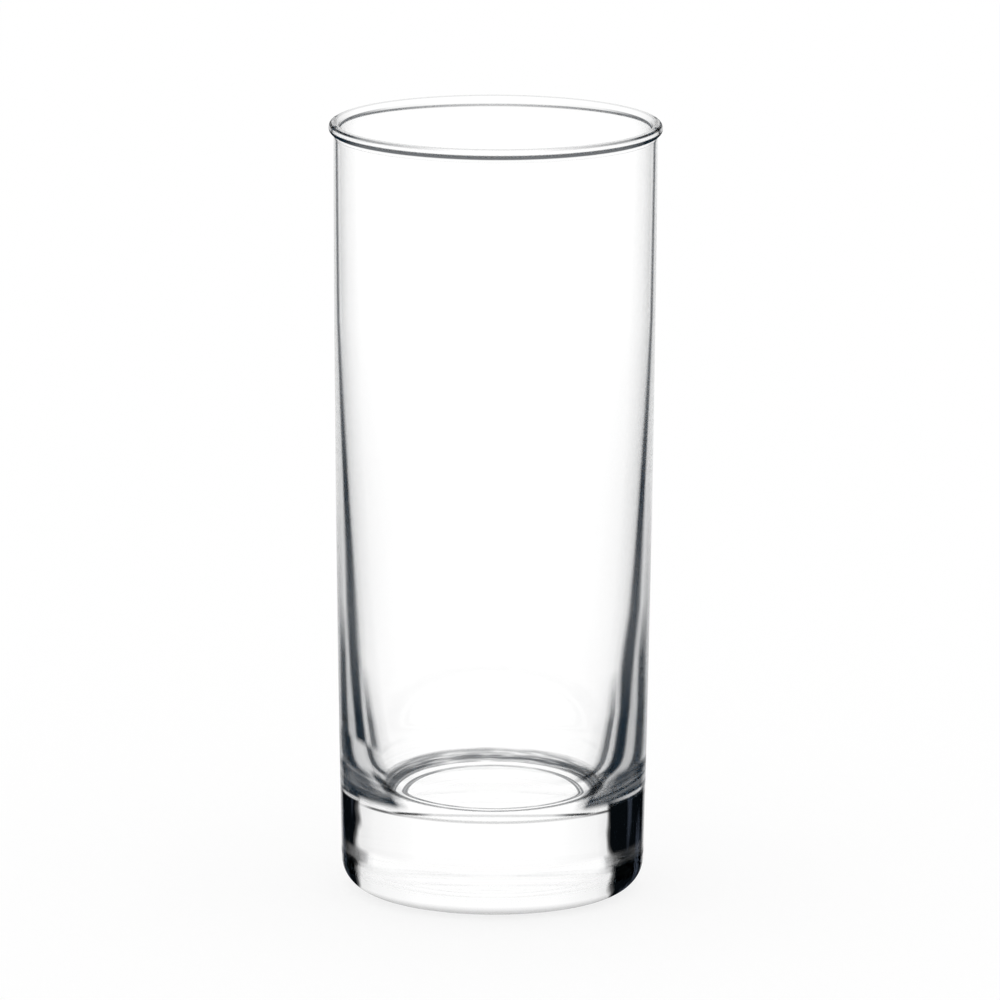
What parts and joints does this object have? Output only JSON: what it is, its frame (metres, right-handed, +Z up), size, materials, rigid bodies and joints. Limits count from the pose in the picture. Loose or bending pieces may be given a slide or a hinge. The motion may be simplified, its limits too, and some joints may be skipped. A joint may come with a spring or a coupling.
{
  "type": "highball glass",
  "caption": "Tall cylindrical drinking glass in clear glass, with a beaded rim, a wall that thickens downwards and a thick solid base.",
  "frame": {"origin": "middle of the flat ring that the glass stands on, at table height", "axes": "+Z up along the axis of the glass, towards the rim; the glass is round, so X and Y are free"},
  "size_m": [0.066, 0.066, 0.155],
  "materials": {
    "clear_glass": "clear and colourless, fire polished"
  },
  "bodies": {
    "root": {"tumbler": "clear_glass"}
  },
  "joints": []
}
